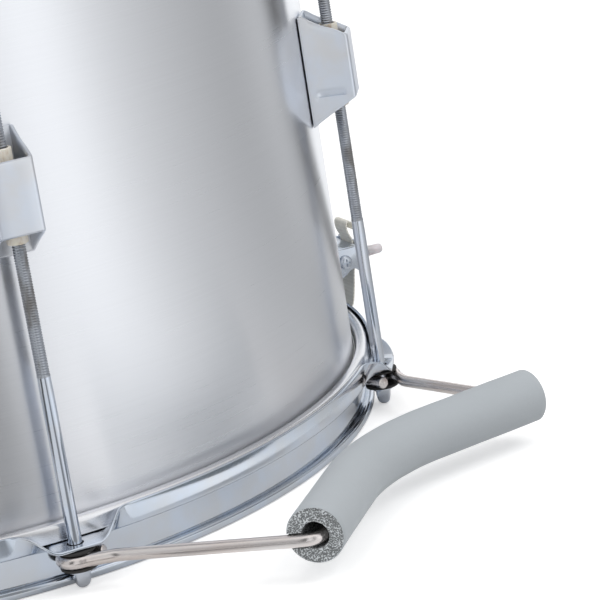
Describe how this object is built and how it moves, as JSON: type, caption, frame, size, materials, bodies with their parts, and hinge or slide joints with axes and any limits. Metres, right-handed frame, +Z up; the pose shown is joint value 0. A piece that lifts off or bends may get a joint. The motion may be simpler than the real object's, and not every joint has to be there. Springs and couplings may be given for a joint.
{
  "type": "marching drum",
  "caption": "Marching drum with an aluminium shell, folded lugs on full-length tension rods, pressed hoops, snares with a throw-off, a sling ring and a padded knee rest",
  "frame": {"origin": "centre of the batter head's playing face, on the drum's axis", "axes": "+Z up along the drum's axis out of the batter head, -Y towards the knee rest, +X to the player's left hand side of it"},
  "size_m": [0.4484, 0.505, 0.3172],
  "materials": {
    "shell_aluminium": "brushed satin",
    "bright_aluminium": "bright satin",
    "chromed_steel": "bright chrome",
    "zinc_steel": "blue zinc plate",
    "lug_steel": "satin zinc plate",
    "stainless_wire": "drawn stainless",
    "nut_plastic": "cream, stained by grease",
    "head_film": "coated film",
    "strap_webbing": "woven tape",
    "grey_foam": "closed-cell skin",
    "black_rubber": "matt",
    "clear_vinyl": "translucent vinyl",
    "brass": "polished"
  },
  "bodies": {
    "drum": {"shell": "shell_aluminium", "vent_eyelet": "brass", "batter_head": "head_film", "snare_head": "head_film", "lug_1": "lug_steel", "lug_2": "lug_steel", "lug_3": "lug_steel", "lug_4": "lug_steel", "lug_5": "lug_steel", "lug_6": "lug_steel", "sleeve_nut_1": "nut_plastic", "sleeve_nut_2": "nut_plastic", "sleeve_nut_3": "nut_plastic", "sleeve_nut_4": "nut_plastic", "sleeve_nut_5": "nut_plastic", "sleeve_nut_6": "nut_plastic", "snare_wires": "zinc_steel", "butt_bracket": "zinc_steel", "butt_jaw": "zinc_steel", "butt_clamp_plate": "zinc_steel", "butt_screw_1": "zinc_steel", "butt_screw_2": "zinc_steel", "butt_cap_1": "clear_vinyl", "butt_cap_2": "clear_vinyl", "butt_strap": "strap_webbing", "strainer_strap": "strap_webbing", "strainer_base": "chromed_steel", "lever_pin": "chromed_steel", "sling_bracket": "chromed_steel"},
    "upper_hoop": {"upper_hoop": "chromed_steel", "batter_flesh_hoop": "bright_aluminium"},
    "lower_hoop": {"lower_hoop": "chromed_steel", "snare_flesh_hoop": "bright_aluminium", "knee_rest_wire": "stainless_wire", "knee_rest_foam": "grey_foam", "rubber_washer_1_upper": "black_rubber", "rubber_washer_1_lower": "black_rubber", "rubber_washer_2_upper": "black_rubber", "rubber_washer_2_lower": "black_rubber"},
    "lever": {"strainer_lever": "chromed_steel", "lever_tip": "black_rubber"},
    "carriage": {"strainer_carriage": "zinc_steel"},
    "knob": {"tension_knob": "chromed_steel"},
    "strap_clamp": {"strap_clamp_block": "zinc_steel", "strap_clamp_plate": "zinc_steel", "strap_clamp_screw_1": "zinc_steel", "strap_clamp_screw_2": "zinc_steel"},
    "sling_ring": {"sling_ring": "chromed_steel"},
    "upper_rod_1": {"upper_rod_1": "zinc_steel"},
    "lower_rod_1": {"lower_rod_1": "zinc_steel"},
    "upper_rod_2": {"upper_rod_2": "zinc_steel"},
    "lower_rod_2": {"lower_rod_2": "zinc_steel"},
    "upper_rod_3": {"upper_rod_3": "zinc_steel"},
    "lower_rod_3": {"lower_rod_3": "zinc_steel"},
    "upper_rod_4": {"upper_rod_4": "zinc_steel"},
    "lower_rod_4": {"lower_rod_4": "zinc_steel"},
    "upper_rod_5": {"upper_rod_5": "zinc_steel"},
    "lower_rod_5": {"lower_rod_5": "zinc_steel"},
    "upper_rod_6": {"upper_rod_6": "zinc_steel"},
    "lower_rod_6": {"lower_rod_6": "zinc_steel"}
  },
  "joints": [
    {"name": "upper_hoop_slide", "type": "slide", "parent": "drum", "child": "upper_hoop", "axis": [0, 0, -1], "range_m": [-0.002, 0.001]},
    {"name": "upper_rod_1_turn", "type": "hinge", "parent": "upper_hoop", "child": "upper_rod_1", "pos_m": [-0.1076, -0.18637, -0.15315], "axis": [0, 0, -1], "range_deg": [-682, 341]},
    {"name": "upper_rod_2_turn", "type": "hinge", "parent": "upper_hoop", "child": "upper_rod_2", "pos_m": [0.1076, -0.18637, -0.15315], "axis": [0, 0, -1], "range_deg": [-682, 341]},
    {"name": "upper_rod_3_turn", "type": "hinge", "parent": "upper_hoop", "child": "upper_rod_3", "pos_m": [0.2152, 0, -0.15315], "axis": [0, 0, -1], "range_deg": [-682, 341]},
    {"name": "upper_rod_4_turn", "type": "hinge", "parent": "upper_hoop", "child": "upper_rod_4", "pos_m": [0.1076, 0.18637, -0.15315], "axis": [0, 0, -1], "range_deg": [-682, 341]},
    {"name": "upper_rod_5_turn", "type": "hinge", "parent": "upper_hoop", "child": "upper_rod_5", "pos_m": [-0.1076, 0.18637, -0.15315], "axis": [0, 0, -1], "range_deg": [-682, 341]},
    {"name": "upper_rod_6_turn", "type": "hinge", "parent": "upper_hoop", "child": "upper_rod_6", "pos_m": [-0.2152, 0, -0.15315], "axis": [0, 0, -1], "range_deg": [-682, 341]},
    {"name": "lower_hoop_slide", "type": "slide", "parent": "drum", "child": "lower_hoop", "axis": [0, 0, 1], "range_m": [-0.002, 0.001]},
    {"name": "lower_rod_1_turn", "type": "hinge", "parent": "lower_hoop", "child": "lower_rod_1", "pos_m": [-0.1076, -0.18637, -0.15315], "axis": [0, 0, 1], "range_deg": [-682, 341]},
    {"name": "lower_rod_2_turn", "type": "hinge", "parent": "lower_hoop", "child": "lower_rod_2", "pos_m": [0.1076, -0.18637, -0.15315], "axis": [0, 0, 1], "range_deg": [-682, 341]},
    {"name": "lower_rod_3_turn", "type": "hinge", "parent": "lower_hoop", "child": "lower_rod_3", "pos_m": [0.2152, 0, -0.15315], "axis": [0, 0, 1], "range_deg": [-682, 341]},
    {"name": "lower_rod_4_turn", "type": "hinge", "parent": "lower_hoop", "child": "lower_rod_4", "pos_m": [0.1076, 0.18637, -0.15315], "axis": [0, 0, 1], "range_deg": [-682, 341]},
    {"name": "lower_rod_5_turn", "type": "hinge", "parent": "lower_hoop", "child": "lower_rod_5", "pos_m": [-0.1076, 0.18637, -0.15315], "axis": [0, 0, 1], "range_deg": [-682, 341]},
    {"name": "lower_rod_6_turn", "type": "hinge", "parent": "lower_hoop", "child": "lower_rod_6", "pos_m": [-0.2152, 0, -0.15315], "axis": [0, 0, 1], "range_deg": [-682, 341]},
    {"name": "lever_throw", "type": "hinge", "parent": "drum", "child": "lever", "pos_m": [-0.18464, 0.1066, -0.21935], "axis": [-0.5, -0.866, 0], "range_deg": [0, 90.1]},
    {"name": "carriage_slide", "type": "slide", "parent": "drum", "child": "carriage", "axis": [0, 0, -1], "range_m": [0, 0.006], "deforming": ["strainer_strap"]},
    {"name": "knob_turn", "type": "hinge", "parent": "carriage", "child": "knob", "pos_m": [-0.18724, 0.1081, -0.26535], "axis": [0, 0, 1], "range_deg": [-1132, 1132]},
    {"name": "strap_clamp_slide", "type": "slide", "parent": "carriage", "child": "strap_clamp", "axis": [0, 0, -1], "range_m": [-0.0022, 0.0022]},
    {"name": "sling_ring_swing", "type": "hinge", "parent": "drum", "child": "sling_ring", "pos_m": [0, -0.2092, -0.05715], "axis": [1, 0, 0], "range_deg": [-120, 5]}
  ],
  "couplings": [
    {"joint": "upper_rod_1_turn", "follows": "upper_hoop_slide", "rad_per_m": 5938.7},
    {"joint": "upper_rod_2_turn", "follows": "upper_hoop_slide", "rad_per_m": 5938.7},
    {"joint": "upper_rod_3_turn", "follows": "upper_hoop_slide", "rad_per_m": 5938.7},
    {"joint": "upper_rod_4_turn", "follows": "upper_hoop_slide", "rad_per_m": 5938.7},
    {"joint": "upper_rod_5_turn", "follows": "upper_hoop_slide", "rad_per_m": 5938.7},
    {"joint": "upper_rod_6_turn", "follows": "upper_hoop_slide", "rad_per_m": 5938.7},
    {"joint": "lower_rod_1_turn", "follows": "lower_hoop_slide", "rad_per_m": 5938.7},
    {"joint": "lower_rod_2_turn", "follows": "lower_hoop_slide", "rad_per_m": 5938.7},
    {"joint": "lower_rod_3_turn", "follows": "lower_hoop_slide", "rad_per_m": 5938.7},
    {"joint": "lower_rod_4_turn", "follows": "lower_hoop_slide", "rad_per_m": 5938.7},
    {"joint": "lower_rod_5_turn", "follows": "lower_hoop_slide", "rad_per_m": 5938.7},
    {"joint": "lower_rod_6_turn", "follows": "lower_hoop_slide", "rad_per_m": 5938.7},
    {"joint": "lever_throw", "follows": "carriage_slide", "rad_per_m": 261.8},
    {"joint": "knob_turn", "follows": "strap_clamp_slide", "rad_per_m": 8976}
  ]
}
